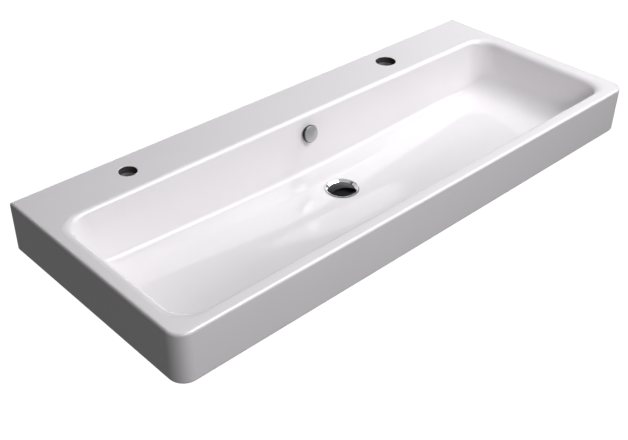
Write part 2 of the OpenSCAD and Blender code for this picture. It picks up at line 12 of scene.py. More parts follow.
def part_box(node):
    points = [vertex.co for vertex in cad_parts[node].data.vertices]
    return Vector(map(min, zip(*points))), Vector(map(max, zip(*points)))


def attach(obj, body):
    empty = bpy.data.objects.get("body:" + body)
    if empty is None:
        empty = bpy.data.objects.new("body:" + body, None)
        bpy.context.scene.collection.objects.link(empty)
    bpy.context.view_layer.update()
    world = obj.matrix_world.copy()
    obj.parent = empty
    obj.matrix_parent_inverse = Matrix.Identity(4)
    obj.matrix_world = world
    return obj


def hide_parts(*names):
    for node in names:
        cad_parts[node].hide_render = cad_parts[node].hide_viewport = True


bl_info = {
    "name": "Trough Basin",
    "version": (1, 0, 0),
    "blender": (4, 5, 0),
    "location": "View3D > Sidebar > Basin",
    "description": "Models and finishes a wall-hung trough basin with its waste and overflow",
    "category": "Object",
}

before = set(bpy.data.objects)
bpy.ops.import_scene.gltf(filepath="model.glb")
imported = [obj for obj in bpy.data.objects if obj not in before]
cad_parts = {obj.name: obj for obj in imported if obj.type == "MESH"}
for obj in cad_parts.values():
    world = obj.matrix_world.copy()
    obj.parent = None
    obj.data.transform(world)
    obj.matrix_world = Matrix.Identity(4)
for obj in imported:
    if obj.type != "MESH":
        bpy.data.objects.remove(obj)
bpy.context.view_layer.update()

MM = 0.001
TOUCH = 0.001 * MM  # points closer than this are one point
SHARP = 35  # degrees: a fold sharper than this stays an edge
FIXED_BODY = "fixed"
PLUG_BODY = "plug"
BASIN_LOW, BASIN_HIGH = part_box("basin")
NUT_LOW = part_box("backnut")[0]


def linear(value):
    """Linear colour of an sRGB hex value."""
    shares = [((value >> shift) & 255) / 255 for shift in (16, 8, 0)]
    return tuple(s / 12.92 if s <= 0.04045 else ((s + 0.055) / 1.055) ** 2.4 for s in shares)


def length(name, description, millimetres):
    """A size that the user can change, given in millimetres."""
    return FloatProperty(
        name=name, description=description, default=millimetres * MM, unit="LENGTH", precision=5
    )


def angle(name, description, degrees):
    """An angle that the user can change, given in degrees."""
    return FloatProperty(
        name=name, description=description, default=math.radians(degrees), subtype="ANGLE"
    )


def count(name, description, number):
    """A number of steps that the user can change."""
    return IntProperty(name=name, description=description, default=number, min=1)


def colour(name, description, value):
    """A colour that the user can change, given as sRGB hex."""
    return FloatVectorProperty(
        name=name, description=description, default=linear(value), subtype="COLOR", min=0, max=1
    )


class BasinSizes(bpy.types.PropertyGroup):
    """Sizes of the ceramic body and its bowl."""

    width: length("Width", "Along the wall", (BASIN_HIGH.x - BASIN_LOW.x) / MM)
    depth: length("Depth", "From the wall to the front face", -BASIN_LOW.y / MM)
    deck_z: length("Deck height", "Deck above the fixing holes", BASIN_HIGH.z / MM)
    apron: length("Apron", "Height of the visible sides", 102)
    apron_t: length("Apron wall", "Thickness of the apron", 18)
    rear_t: length("Rear wall", "Thickness of the wall behind", 20)
    deck_t: length("Deck thickness", "Thickness of the tap deck", 14)
    corner_r: length("Front corners", "Radius of the upright front corners", 30)
    rear_r: length("Rear corners", "Glaze radius of the rear corners", 1.5)
    edge_r: length("Outer edges", "Radius of the top and bottom edges", 6)
    bowl_t: length("Bowl wall", "Thickness of the bowl", 11)
    deck_d: length("Deck depth", "From the wall to the lip", 103)
    rim_w: length("Rim", "Width of the rim at the ends and front", 20)
    lip_r: length("Lip", "Radius where deck and front rim turn down", 10)
    end_lip_r: length("End lip", "Radius where the rim turns down at the ends", 18)
    bowl_depth: length("Bowl depth", "Depth of the floor at its edge", 103)
    floor_fall: length("Floor fall", "Fall of the floor to the waste", 22)
    rear_sag: length("Rear sag", "Extra depth beside the waste at the rear", 14)
    mouth_r: length("Mouth corners", "Corner radius of the bowl at the rim", 48)
    rear_foot_r: length("Rear floor corners", "Corner radius of the floor behind", 34)
    front_foot_r: length("Front floor corners", "Corner radius of the floor in front", 58)
    end_fillet: length("End fillet", "Fillet between the ends and the floor", 60)
    rear_fillet: length("Rear fillet", "Fillet between rear wall and floor", 12)
    front_fillet: length("Front fillet", "Fillet between front wall and floor", 36)
    end_draft: angle("End lean", "Lean of the end walls", 12)
    rear_draft: angle("Rear lean", "Lean of the rear wall", 14)
    front_draft: angle("Front lean", "Lean of the front wall", 8)
    floor_tilt: angle("Floor tilt", "Slope where the fillets end", 3)
    tap_left_r: length("Left tap hole radius", "Radius of the left tap hole", 17.5)
    tap_right_r: length("Right tap hole radius", "Radius of the right tap hole", 22.5)
    tap_y: length("Tap hole setback", "From the wall to the tap holes", 50)
    tap_left: length("Left tap hole", "Left tap hole from the middle", 388)
    tap_right: length("Right tap hole", "Right tap hole from the middle", 304)
    tap_edge: length("Tap hole edge", "Soft glaze edge of the tap holes", 1.2)
    fix_r: length("Fixing hole radius", "Radius of the wall-fixing holes", 11)
    fix_inner: length("Inner fixings", "Distance between the inner pair", 280)
    fix_outer: length("Outer fixings", "Distance between the outer pair", 900)
    web_t: length("Webs", "Thickness of the webs behind the bowl", 12)
    web_gap: length("Web distance", "Distance between the webs", 420)
    corner_steps: count("Corner steps", "Steps round each corner", 12)
    long_steps: count("Long steps", "Steps along the front and rear", 72)
    short_steps: count("Short steps", "Steps along each end", 20)


class FittingSizes(bpy.types.PropertyGroup):
    """Sizes of the waste, the plug and the overflow."""

    waste_y: length("Waste setback", "From the wall to the waste", 222)
    flange_r: length("Flange radius", "Radius of the waste flange", 35)
    seat_r: length("Seat radius", "Radius of the recess for the flange", 33.2)
    seat_drop: length("Seat depth", "Depth of the recess", 12)
    hole_r: length("Waste hole", "Radius of the ceramic waste hole", 23)
    boss_r: length("Boss radius", "Radius of the boss under the bowl", 44)
    boss_h: length("Boss height", "Ceramic under the floor at the waste", 44)
    tail_r: length("Tail radius", "Outer radius of the threaded tail", 20.9)
    tail_core: length("Tail core", "Radius under the thread", 19.9)
    throat_r: length("Throat", "Bore radius of the tail", 18.5)
    tail_l: length("Tail length", "Tail below the floor", 84)
    pitch: length("Thread pitch", "Eleven threads to the inch", 2.309)
    over_drop: length("Overflow drop", "Overflow below the deck", 39.5)
    over_hole_r: length("Overflow hole", "Radius of the overflow hole", 12)
    over_cap_r: length("Overflow cap", "Radius of the overflow cap", 18.5)
    over_cap_t: length("Cap thickness", "Thickness of the overflow cap", 3)
    plug_r: length("Plug radius", "Radius of the plug", 27)
    crown: length("Crown", "Height of the plug's crown", 4)
    turn_steps: count("Turning steps", "Steps round each turned piece", 96)


class FinishColours(bpy.types.PropertyGroup):
    """Colours of the finishes."""

    glaze: colour("Glaze", "White glaze", 0xF4F1F4)
    bisque: colour("Bisque", "Unglazed fired clay", 0xDDD8CF)
    # painted shade: the tap holes' walls take this near-black tone for the shadow inside them
    hole: colour("Hole wall", "Raw clay in the tap holes", 0x3A3836)
    chrome: colour("Chrome", "Polished chrome plate", 0xD9DBDE)
    # painted reflection: the chrome plug is drawn in this near-black tone for the dark room it
    # mirrors
    nickel: colour("Black nickel", "Polished black nickel plate", 0x2E2F32)
    brass: colour("Brass", "Turned brass", 0xC7A765)
    steel: colour("Steel", "Stainless steel", 0xB4B6B8)
    rubber: colour("Rubber", "Black rubber", 0x222326)
    # painted shade: near-black for the overflow's body, standing in for the shadow behind the cap
    gap_painted_shade: colour("Dark resin", "Black moulded resin behind the overflow cap", 0x1E1F21)
    resin: colour("Resin", "White moulded resin", 0xE4E4DF)


class StudioSettings(bpy.types.PropertyGroup):
    """Camera, floor and lamps."""

    azimuth: angle("Azimuth", "Camera round the upright axis", -44.12)
    elevation: angle("Elevation", "Camera above the horizon", 34.87)
    roll: angle("Roll", "Camera turned about its own axis", 1.0)
    distance: length("Distance", "Camera to its target", 1637.4)
    lens: FloatProperty(name="Lens", description="Focal length", default=55.015, unit="CAMERA")
    floor_drop: length("Floor", "Floor below the fixing holes", 790)
    white: colour("Backdrop", "White of the floor and backdrop", 0xFFFFFF)


def sizes():
    return bpy.context.scene.basin_sizes


def fittings():
    return bpy.context.scene.fitting_sizes


def finishes():
    return bpy.context.scene.finish_colours


def mix(a, b, t):
    """The value that lies a share of the way from one to the other."""
    return a + (b - a) * t


def ease(t):
    """A share that starts and ends gently."""
    return t * t * (3 - 2 * t)


# Materials


def add(tree, kind, inputs=None, **settings):
    """Adds a node with its settings, and fills each input with a value or a link."""
    node = tree.nodes.new(kind)
    for name, value in settings.items():
        setattr(node, name, value)
    for socket, value in (inputs or {}).items():
        if isinstance(value, bpy.types.NodeSocket):
            tree.links.new(value, node.inputs[socket])
        else:
            node.inputs[socket].default_value = value
    return node


def finish(recipe):
    """Turns a recipe, which fills a tree and gives its shader, into a call that gives the material
    of a name and makes it when it is new."""

    def material_of(name, *settings, **named):
        material = bpy.data.materials.get(name)
        if material is None:
            material = bpy.data.materials.new(name)
            material.use_nodes = True
            tree = material.node_tree
            tree.nodes.clear()
            add(tree, "ShaderNodeOutputMaterial", {0: recipe(tree, *settings, **named)})
        return material

    return material_of


def shade(tone, share):
    """The tone at that share of its brightness."""
    return (*(c * share for c in tone), 1)


# Scales of the patterns, in cells to a metre. Grain, wiping marks and grog are finer on the real
# piece than the render can show, so they are drawn as coarse as they need to be.
POOLS = 9.0  # 110 mm, where the glaze gathers
RIPPLES = 45.0  # 22 mm, the waves in the gloss
GROG = 420.0  # 2.4 mm
HAIRLINES = 260.0  # 4 mm
LATHE_MARKS = 400.0  # 0.8 mm from ring to ring
CLAY_GRAIN = 500.0  # 2 mm
RESIN_GRAIN = 700.0  # 1.4 mm
RUBBER_GRAIN = 900.0  # 1.1 mm


@finish
def glazed_ceramic(tree):
    """Vitreous china, slip-cast, sprayed with white glaze and fired: a deep even gloss whose
    reflections waver a little, because the glaze pools in waves about 20 mm long."""
    glaze = finishes().glaze
    place = add(tree, "ShaderNodeTexCoord").outputs["Object"]
    pooling = add(
        tree,
        "ShaderNodeTexNoise",
        {"Vector": place, "Scale": POOLS, "Detail": 2.0, "Roughness": 0.4},
    )
    tint = add(
        tree,
        "ShaderNodeMix",
        {0: pooling.outputs[0], 6: shade(glaze, 1.0), 7: shade(glaze, 0.965)},
        data_type="RGBA",
    )
    waves = add(
        tree,
        "ShaderNodeTexNoise",
        {"Vector": place, "Scale": RIPPLES, "Detail": 1.0, "Roughness": 0.3},
    )
    peel = add(
        tree,
        "ShaderNodeBump",
        {"Strength": 0.12, "Distance": 0.4 * MM, "Height": waves.outputs[0]},
    )
    gloss = add(
        tree, "ShaderNodeMapRange", {"Value": pooling.outputs[0], "To Min": 0.05, "To Max": 0.09}
    )
    return add(
        tree,
        "ShaderNodeBsdfPrincipled",
        {
            "Base Color": tint.outputs[2],
            "Roughness": gloss.outputs[0],
            "IOR": 1.52,
            "Normal": peel.outputs[0],
        },
    ).outputs[0]


@finish
def grained(tree, tone, roughness, scale, depth, dark=0.88, strength=0.2):
    """A dull or silky surface whose colour and height follow one fine grain."""
    place = add(tree, "ShaderNodeTexCoord").outputs["Object"]
    grain = add(tree, "ShaderNodeTexNoise", {"Vector": place, "Scale": scale, "Detail": 3.0})
    tint = add(
        tree,
        "ShaderNodeMix",
        {0: grain.outputs[0], 6: shade(tone, 1.0), 7: shade(tone, dark)},
        data_type="RGBA",
    )
    bumps = add(
        tree,
        "ShaderNodeBump",
        {"Strength": strength, "Distance": depth, "Height": grain.outputs[0]},
    )
    return add(
        tree,
        "ShaderNodeBsdfPrincipled",
        {"Base Color": tint.outputs[2], "Roughness": roughness, "Normal": bumps.outputs[0]},
    ).outputs[0]


def bisque():
    """Fired clay without glaze, wiped on the face that meets the wall: dull, with fine grog."""
    tone = finishes().bisque
    return grained("fired_clay_bisque", tone, 0.85, GROG, 0.3 * MM, dark=0.84, strength=0.3)


def tap_hole_painted_shade():
    """Punched tap hole walls in painted shade: near-black and dull, for the shadow inside."""
    return grained("unglazed_hole_wall", finishes().hole, 0.9, CLAY_GRAIN, 0.3 * MM)


def black_rubber():
    """Moulded rubber of the seals: black and dull, with the mould's grain."""
    return grained("moulded_black_rubber", finishes().rubber, 0.6, RUBBER_GRAIN, 0.1 * MM)


def gap_painted_shade():
    """Overflow's sleeve in painted shade: near-black resin with a soft sheen, for the shadow behind
    the cap.
    """
    return grained("moulded_black_resin", finishes().gap_painted_shade, 0.45, RESIN_GRAIN, 0.05 * MM)


def white_resin():
    """Moulded acetal: white and slippery, with a silky sheen."""
    return grained("moulded_acetal_resin", finishes().resin, 0.38, RESIN_GRAIN, 0.05 * MM)


@finish
def plated(tree, tone, low, high):
    """Plate over polished brass: a mirror, or a satin one, with faint hairlines from wiping."""
    place = add(tree, "ShaderNodeTexCoord").outputs["Object"]
    hairlines = add(
        tree,
        "ShaderNodeTexNoise",
        {"Vector": place, "Scale": HAIRLINES, "Detail": 4.0, "Roughness": 0.7},
    )
    gloss = add(
        tree, "ShaderNodeMapRange", {"Value": hairlines.outputs[0], "To Min": low, "To Max": high}
    )
    return add(
        tree,
        "ShaderNodeBsdfPrincipled",
        {"Base Color": shade(tone, 1.0), "Metallic": 1.0, "Roughness": gloss.outputs[0]},
    ).outputs[0]


def chrome_plate():
    """Bright chrome: mirrors the bowl and the lamps."""
    return plated("chrome_plated_brass", finishes().chrome, low=0.03, high=0.09)


def satin_chrome():
    """Brushed chrome: an even grey with soft lights."""
    return plated("satin_chrome_plated_brass", finishes().steel, low=0.26, high=0.36)


def plug_painted_dark_reflection():
    """Polished plug drawn near-black: a painted reflection of the dark room its chrome mirrors."""
    return plated("black_nickel_plated_brass", finishes().nickel, low=0.03, high=0.09)


@finish
def turned_metal(tree, tone, low, high):
    """Metal turned on a lathe: fine rings round the waste's axis that catch the light."""
    place = add(tree, "ShaderNodeTexCoord").outputs["Object"]
    centred = add(
        tree, "ShaderNodeMapping", {"Vector": place, "Location": (0, fittings().waste_y, 0)}
    )
    rings = add(
        tree,
        "ShaderNodeTexWave",
        {"Vector": centred.outputs[0], "Scale": LATHE_MARKS, "Distortion": 1.5, "Detail": 2.0},
        wave_type="BANDS",
        bands_direction="Z",
    ).outputs[1]
    gloss = add(tree, "ShaderNodeMapRange", {"Value": rings, "To Min": low, "To Max": high})
    marks = add(tree, "ShaderNodeBump", {"Strength": 0.15, "Distance": 0.1 * MM, "Height": rings})
    return add(
        tree,
        "ShaderNodeBsdfPrincipled",
        {
            "Base Color": shade(tone, 1.0),
            "Metallic": 1.0,
            "Roughness": gloss.outputs[0],
            "Normal": marks.outputs[0],
        },
    ).outputs[0]


def turned_brass():
    """Bare brass from the lathe: warm yellow, half polished."""
    return turned_metal("turned_brass", finishes().brass, low=0.22, high=0.34)


def stainless_steel():
    """Bare stainless steel from the lathe: cool grey, half polished."""
    return turned_metal("turned_stainless_steel", finishes().steel, low=0.2, high=0.32)


# Mesh helpers


def loft(bm, rings):
    """Skins a stack of rings: each is the ring before it, extruded and moved."""
    made = bmesh.ops.create_circle(bm, cap_ends=False, segments=len(rings[0]), radius=1)
    ring = list(made["verts"])
    edges = bm.edges[:]
    for v, point in zip(ring, rings[0]):
        v.co = point
    for points in rings[1:]:
        made = bmesh.ops.extrude_edge_only(bm, edges=edges)["geom"]
        new = {v for v in made if isinstance(v, bmesh.types.BMVert)}
        ring = [next(e.other_vert(v) for e in v.link_edges if e.other_vert(v) in new) for v in ring]
        edges = [e for e in made if isinstance(e, bmesh.types.BMEdge) and set(e.verts) <= new]
        for v, point in zip(ring, points):
            v.co = point


def turn(bm, profile, steps):
    """Turns a closed outline of radii and heights about Z."""
    verts = [bm.verts.new((r, 0, z)) for r, z in profile]
    edges = [bm.edges.new((a, b)) for a, b in zip(verts, verts[1:] + verts[:1])]
    bmesh.ops.spin(
        bm, geom=verts + edges, axis=(0, 0, 1), cent=(0, 0, 0), steps=steps,
        angle=2 * math.pi, use_merge=True,
    )


CORNER_SHARE = 0.45  # the most of a side that the rounding of a corner may take


def softened(profile, radius, steps=3):
    """The closed outline with each corner rounded."""
    points = [Vector((*p, 0)) for p in profile]
    rounded = []
    for before, here, after in zip(points[-1:] + points, points, points[1:] + points[:1]):
        if here.x < TOUCH:
            rounded.append((here.x, here.y))
            continue
        start, end = ((p - here).length for p in (before, after))
        a = here + (before - here) * min(radius / start, CORNER_SHARE)
        b = here + (after - here) * min(radius / end, CORNER_SHARE)
        for i in range(steps + 1):
            t = i / steps
            p = a * (1 - t) ** 2 + here * 2 * t * (1 - t) + b * t * t
            rounded.append((p.x, p.y))
    return rounded


def piece(name, bm, material):
    """Makes a bmesh an object with outward faces, smooth except at sharp edges."""
    bmesh.ops.remove_doubles(bm, verts=bm.verts, dist=TOUCH)
    bmesh.ops.recalc_face_normals(bm, faces=bm.faces)
    mesh = bpy.data.meshes.new(name)
    bm.to_mesh(mesh)
    bm.free()
    smooth(mesh)
    if material:
        mesh.materials.append(material)
    obj = bpy.data.objects.new(name, mesh)
    bpy.context.scene.collection.objects.link(obj)
    return obj


def smooth(mesh):
    """Shades the faces smooth and keeps the sharp edges."""
    mesh.shade_smooth()
    mesh.set_sharp_from_angle(angle=math.radians(SHARP))


def turned(name, profile, place, material):
    """A piece turned round the upright axis of its place."""
    bm = bmesh.new()
    turn(bm, profile, fittings().turn_steps)
    bmesh.ops.transform(bm, matrix=place, verts=bm.verts)
    return piece(name, bm, material)


def combine(target, tool, operation):
    """Joins the tool to the target, or cuts it out, and removes the tool."""
    modifier = target.modifiers.new(operation, "BOOLEAN")
    modifier.operation = operation
    modifier.object = tool
    modifier.solver = "EXACT"
    bpy.context.view_layer.update()
    graph = bpy.context.evaluated_depsgraph_get()
    mesh = bpy.data.meshes.new_from_object(target.evaluated_get(graph))
    target.modifiers.clear()
    target.data = mesh
    bpy.data.objects.remove(tool)


def settle(obj, body, slot, *replaced):
    """The piece rides on its body and stands for these nodes; the slot is not used."""
    sides = Counter(key for polygon in obj.data.polygons for key in polygon.edge_keys)
    if not sides or set(sides.values()) != {2}:
        raise RuntimeError(f"{obj.name} is not a closed mesh")
    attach(obj, body)
    if replaced:
        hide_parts(*replaced)


def dress(material, *names):
    """Gives CAD nodes their finish."""
    for name in names:
        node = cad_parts.get(name)
        if node is None:
            raise RuntimeError(f"the frame has no node {name}")
        node.data.materials.clear()
        node.data.materials.append(material)


def lift(height):
    """A move along Z."""
    return Matrix.Translation((0, 0, height))


# Ceramic body


INSIDE_STEPS = (8, 5, 14)  # round the lip, down the wall and round the fillet
UNDER_STEPS = (4, 2, 7)
FLOOR_STEPS = 26
UNDER_FLOOR_STEPS = 10
EDGE_STEPS = 6
SOFT_EDGE = 1.5 * MM  # glaze radius of the small edges
REAR_SHARE = 0.25  # the rear's outer edges are as sharp as the wall needs
MARGIN = 3 * MM  # level floor round the flange, and shell round the boss
GAP = 0.05 * MM  # between a fitting and the faceted glaze
ON_WALL, ON_BORE = 0.01 * MM, 0.1 * MM  # a point this close to a surface lies on it
EASE_SHARE = 0.3  # the part of a span over which its slope builds up


def spots():
    """Places round a ring: corner, share of its arc, share of the side after it."""
    s = sizes()
    found = []
    for q in range(4):
        found += [(q, i / s.corner_steps, 0) for i in range(s.corner_steps + 1)]
        steps = s.short_steps if q % 2 else s.long_steps
        found += [(q, 1, i / steps) for i in range(1, steps)]
    return found


def arc_point(q, share, half_x, rear, front, rear_r, front_r):
    """A point on the arc of a corner of a rounded oblong."""
    r = rear_r if q < 2 else front_r
    a = math.radians(90 * (q + share))
    x = (1 if q % 3 == 0 else -1) * (half_x - r)
    y = rear - r if q < 2 else front + r
    return Vector((x + r * math.cos(a), y + r * math.sin(a)))


def ring_point(spot, *shape):
    """A point of a rounded oblong, on a corner's arc or on the side after it."""
    q, share, along = spot
    start = arc_point(q, share, *shape)
    if along == 0:
        return start
    return start.lerp(arc_point((q + 1) % 4, 0, *shape), along)


def side_value(spot, ends, rear, front):
    """A value at a place, from the values at the ends, the rear and the front."""
    around = (ends, rear, ends, front)
    q, share, along = spot
    if along > 0:
        return around[(q + 1) % 4]
    return mix(around[q], around[(q + 1) % 4], ease(share))


def wall_l(lip_r, draft, fillet):
    """Length of the straight wall between lip and fillet."""
    s = sizes()
    rise = s.bowl_depth - fillet * (math.cos(s.floor_tilt) - math.sin(draft))
    return (rise - lip_r * (1 - math.sin(draft))) / math.cos(draft)


def foot_in(lip_r, draft, fillet):
    """Inset of the floor's edge from the mouth."""
    s = sizes()
    return (
        lip_r * math.cos(draft)
        + wall_l(lip_r, draft, fillet) * math.sin(draft)
        + fillet * (math.cos(draft) - math.sin(s.floor_tilt))
    )


def side_profile(side, lip_steps, wall_steps, fillet_steps):
    """Inset and drop from the rim down one side to the foot of its fillet."""
    s = sizes()
    lip_r, draft, fillet = side
    upright = math.pi / 2 - draft

    def lip(a):
        return Vector((lip_r * math.sin(a), lip_r * (1 - math.cos(a))))

    def foot(a):
        return Vector(
            (
                foot_in(*side) + fillet * (math.sin(s.floor_tilt) - math.sin(a)),
                s.bowl_depth - fillet * (math.cos(s.floor_tilt) - math.cos(a)),
            )
        )

    down = Vector((math.sin(draft), math.cos(draft))) * wall_l(*side)
    return (
        [lip(upright * i / lip_steps) for i in range(lip_steps + 1)]
        + [lip(upright) + down * i / wall_steps for i in range(1, wall_steps + 1)]
        + [foot(mix(upright, s.floor_tilt, i / fillet_steps)) for i in range(1, fillet_steps + 1)]
    )


def soft(w, span):
    """A distance into a slope whose steepness builds up gently."""
    return 0 if w <= 0 else w * w / (w + EASE_SHARE * span)


def fade(w, span):
    """One at the start of a slope, falling to nought at its end."""
    return 1 - min(1, soft(w, span) / soft(span, span))


class Bowl:
    """The bowl's rings, from the mouth down to the waste."""

    def __init__(self):
        s = sizes()
        self.mouth = (s.width / 2 - s.rim_w, -s.deck_d, -(s.depth - s.rim_w))
        self.level_r = fittings().flange_r + MARGIN
        self.waste_y = fittings().waste_y
        self.sides = (
            (s.end_lip_r, s.end_draft, s.end_fillet),
            (s.lip_r, s.rear_draft, s.rear_fillet),
            (s.lip_r, s.front_draft, s.front_fillet),
        )
        ends, rear, front = (foot_in(*side) for side in self.sides)
        self.foot = (self.mouth[0] - ends, self.mouth[1] - rear, self.mouth[2] + front)

    def along(self, x):
        """Share of the floor's fall, from the ends to the waste."""
        return fade(abs(x) - self.level_r, self.foot[0] - self.level_r)

    def across(self, y):
        """Share of the floor's fall, from the rear or the front to the waste."""
        w = y + self.waste_y
        if w > 0:
            return fade(w - self.level_r, self.foot[1] + self.waste_y - self.level_r)
        return fade(-w - self.level_r, -self.waste_y - self.level_r - self.foot[2])

    def floor_depth(self, x, y):
        """Depth of the floor under the rim."""
        s = sizes()
        edge = s.rear_sag if y > -self.waste_y else 0
        return s.bowl_depth + self.along(x) * mix(edge, s.floor_fall, self.across(y))

    def rim(self, grow):
        """A flat ring just outside the mouth, which keeps the rim flat."""
        x, rear, front = self.mouth
        r = sizes().mouth_r + grow
        shape = (x + grow, rear + grow, front - grow, r, r)
        return [Vector((*ring_point(spot, *shape), 0)) for spot in spots()]

    def walls(self, grow, steps, first=0):
        """Rings from the mouth to the floor's edge, grown outwards for the underside."""
        s = sizes()
        ends, rear, front = (side_profile(side, *steps) for side in self.sides)
        last = len(ends) - 1
        rings = []
        for k in range(first, last + 1):
            ring = []
            for spot in spots():
                p = ring_point(
                    spot,
                    self.mouth[0] + grow - ends[k].x,
                    self.mouth[1] + grow - rear[k].x,
                    self.mouth[2] - grow + front[k].x,
                    mix(s.mouth_r, s.rear_foot_r, k / last) + grow,
                    mix(s.mouth_r, s.front_foot_r, k / last) + grow,
                )
                drop = side_value(spot, ends[k].y, rear[k].y, front[k].y)
                sag = side_value(spot, 0, s.rear_sag, 0) * self.along(p.x)
                ring.append(Vector((p.x, p.y, -drop * (1 + (sag + grow) / s.bowl_depth))))
            rings.append(ring)
        return rings

    def floor(self, foot, grow, steps, near_r):
        """Rings from the floor's edge to a circle round the waste."""
        rings = []
        for k in range(1, steps + 1):
            t = k / steps
            ring = []
            for f in foot:
                away = Vector((f.x, f.y + self.waste_y))
                p = away.lerp(away.normalized() * near_r, t)
                miss = f.z + grow + self.floor_depth(f.x, f.y)
                depth = self.floor_depth(p.x, p.y - self.waste_y)
                ring.append(Vector((p.x, p.y - self.waste_y, miss * (1 - t) - grow - depth)))
            rings.append(ring)
        return rings

    def circles(self, ring, profile):
        """Circles round the waste, in the directions of a ring, at radii and heights."""
        directions = [Vector((p.x, p.y + self.waste_y)).normalized() for p in ring]
        return [
            [Vector((d.x * r, d.y * r - self.waste_y, z)) for d in directions] for r, z in profile
        ]


def outline(inset, rear_inset, drop, rear_drop):
    """Ring on the body's outside, drawn in and lowered."""
    s = sizes()
    shape = (
        s.width / 2 - inset,
        -rear_inset,
        inset - s.depth,
        max(s.rear_r - inset, SOFT_EDGE / 3),
        s.corner_r - min(inset, s.corner_r / 2),
    )
    return [
        Vector((*ring_point(spot, *shape), -side_value(spot, drop, rear_drop, drop)))
        for spot in spots()
    ]


def outer_rings():
    """Rings of the outside, from the rim over the apron to the inside of its foot."""
    s = sizes()
    quarter = [math.pi / 2 * i / EDGE_STEPS for i in range(EDGE_STEPS + 1)]
    round_off = [(s.edge_r * (1 - math.sin(a)), s.edge_r * (1 - math.cos(a))) for a in quarter]
    rings = [
        outline(inset, inset * REAR_SHARE, drop, drop * REAR_SHARE) for inset, drop in round_off
    ]
    for inset, rise in reversed(round_off):
        rings.append(outline(inset, inset * REAR_SHARE, s.apron - rise, s.apron - rise))
    foot = s.apron - SOFT_EDGE
    rings.append(outline(s.apron_t - SOFT_EDGE, s.rear_t - SOFT_EDGE, s.apron, s.apron))
    rings.append(outline(s.apron_t, s.rear_t, foot, foot))
    rings.append(outline(s.apron_t, s.rear_t, s.deck_t, s.deck_t))
    return rings


def ceramic_rings():
    """One loop of rings: rim, apron, underside, boss, waste seat, floor and wall."""
    s, f, bowl = sizes(), fittings(), Bowl()
    walls = bowl.walls(0, INSIDE_STEPS)
    floor = bowl.floor(walls[-1], 0, FLOOR_STEPS, bowl.level_r)
    under = bowl.walls(s.bowl_t, UNDER_STEPS, UNDER_STEPS[0] + 1)
    under[0] = [Vector((p.x, p.y, -s.deck_t)) for p in under[0]]
    under += bowl.floor(under[-1], s.bowl_t, UNDER_FLOOR_STEPS, f.boss_r + MARGIN)
    floor_z = -(s.bowl_depth + s.floor_fall)
    boss_z, seat_z = floor_z - f.boss_h, floor_z - f.seat_drop
    blend, chamfer, seat_out, seat_down = 2 * MM, MM, 0.5 * MM, 0.4 * MM
    well = [
        (f.boss_r, floor_z - s.bowl_t - blend),
        (f.boss_r, boss_z + SOFT_EDGE),
        (f.boss_r - SOFT_EDGE, boss_z),
        (f.hole_r + chamfer, boss_z),
        (f.hole_r, boss_z + chamfer),
        (f.hole_r, seat_z),
        (f.hole_r + SOFT_EDGE, seat_z),
        (f.seat_r, floor_z - seat_down),
        (f.seat_r + seat_out, floor_z),
    ]
    rings = [bowl.rim(SOFT_EDGE)] + outer_rings() + under
    rings += bowl.circles(under[-1], well) + floor[::-1] + walls[::-1]
    rings.append(rings[0])
    return [[p + Vector((0, 0, s.deck_z)) for p in ring] for ring in rings]


def rear_stretch():
    """How far the sag stretches the rear wall beside the waste."""
    s = sizes()
    return 1 + s.rear_sag / s.bowl_depth


def rear_lean():
    """Lean of the rear wall beside the waste, where the sag stretches it."""
    return math.atan(math.tan(sizes().rear_draft) / rear_stretch())


def over_place():
    """Overflow's centre on the rear wall, with Z out of the wall."""
    s, f = sizes(), fittings()
    y = -s.deck_d - s.lip_r * math.cos(s.rear_draft)
    fall = f.over_drop / rear_stretch() - s.lip_r * (1 - math.sin(s.rear_draft))
    y -= fall * math.tan(s.rear_draft)
    place = Matrix.Translation((0, y, s.deck_z - f.over_drop))
    tilt = Matrix.Rotation(math.pi / 2 - rear_lean(), 4, "X")
    return place @ tilt @ lift(GAP)


def shell_y(drop):
    """Back of the rear wall's shell, so far below the deck."""
    s, f = sizes(), fittings()
    fall = (drop - f.over_drop) * math.tan(rear_lean())
    return over_place().translation.y + s.bowl_t / math.cos(rear_lean()) - fall


def waste_place():
    """Waste's centre, at the height of the floor beside its flange."""
    s, f = sizes(), fittings()
    return Matrix.Translation((0, -f.waste_y, s.deck_z - s.bowl_depth - s.floor_fall))


def rod(bm, radius, height, place, segments=64):
    """A round bar along Z of its place, from its foot."""
    made = bmesh.ops.create_cone(
        bm, cap_ends=True, segments=segments, radius1=radius, radius2=radius, depth=height
    )
    bmesh.ops.transform(bm, matrix=place @ lift(height / 2), verts=made["verts"])


def flared_rod(bm, radius, place, steps=5, segments=64):
    """A cutter through the deck whose top flares into the soft glaze edge of a tap hole."""
    s = sizes()
    proud = 0.01 * MM
    profile = [(0, -2 * s.deck_t), (radius, -2 * s.deck_t)]
    for i in range(steps + 1):
        a = math.pi / 2 * i / steps
        out, down = s.tap_edge * (1 - math.cos(a)), s.tap_edge * (1 - math.sin(a))
        profile.append((radius + out, proud - down))
    profile += [(radius + s.tap_edge, s.deck_t), (0, s.deck_t)]
    others = set(bm.verts)
    turn(bm, profile, segments)
    bmesh.ops.transform(bm, matrix=place, verts=[v for v in bm.verts if v not in others])


def plate(bm, points, middle, width):
    """A plate across X, from its outline of depths and heights over the deck."""
    verts = [bm.verts.new((middle - width / 2, y, z + sizes().deck_z)) for y, z in points]
    made = bmesh.ops.extrude_face_region(bm, geom=[bm.faces.new(verts)])["geom"]
    moved = [v for v in made if isinstance(v, bmesh.types.BMVert)]
    bmesh.ops.translate(bm, vec=(width, 0, 0), verts=moved)


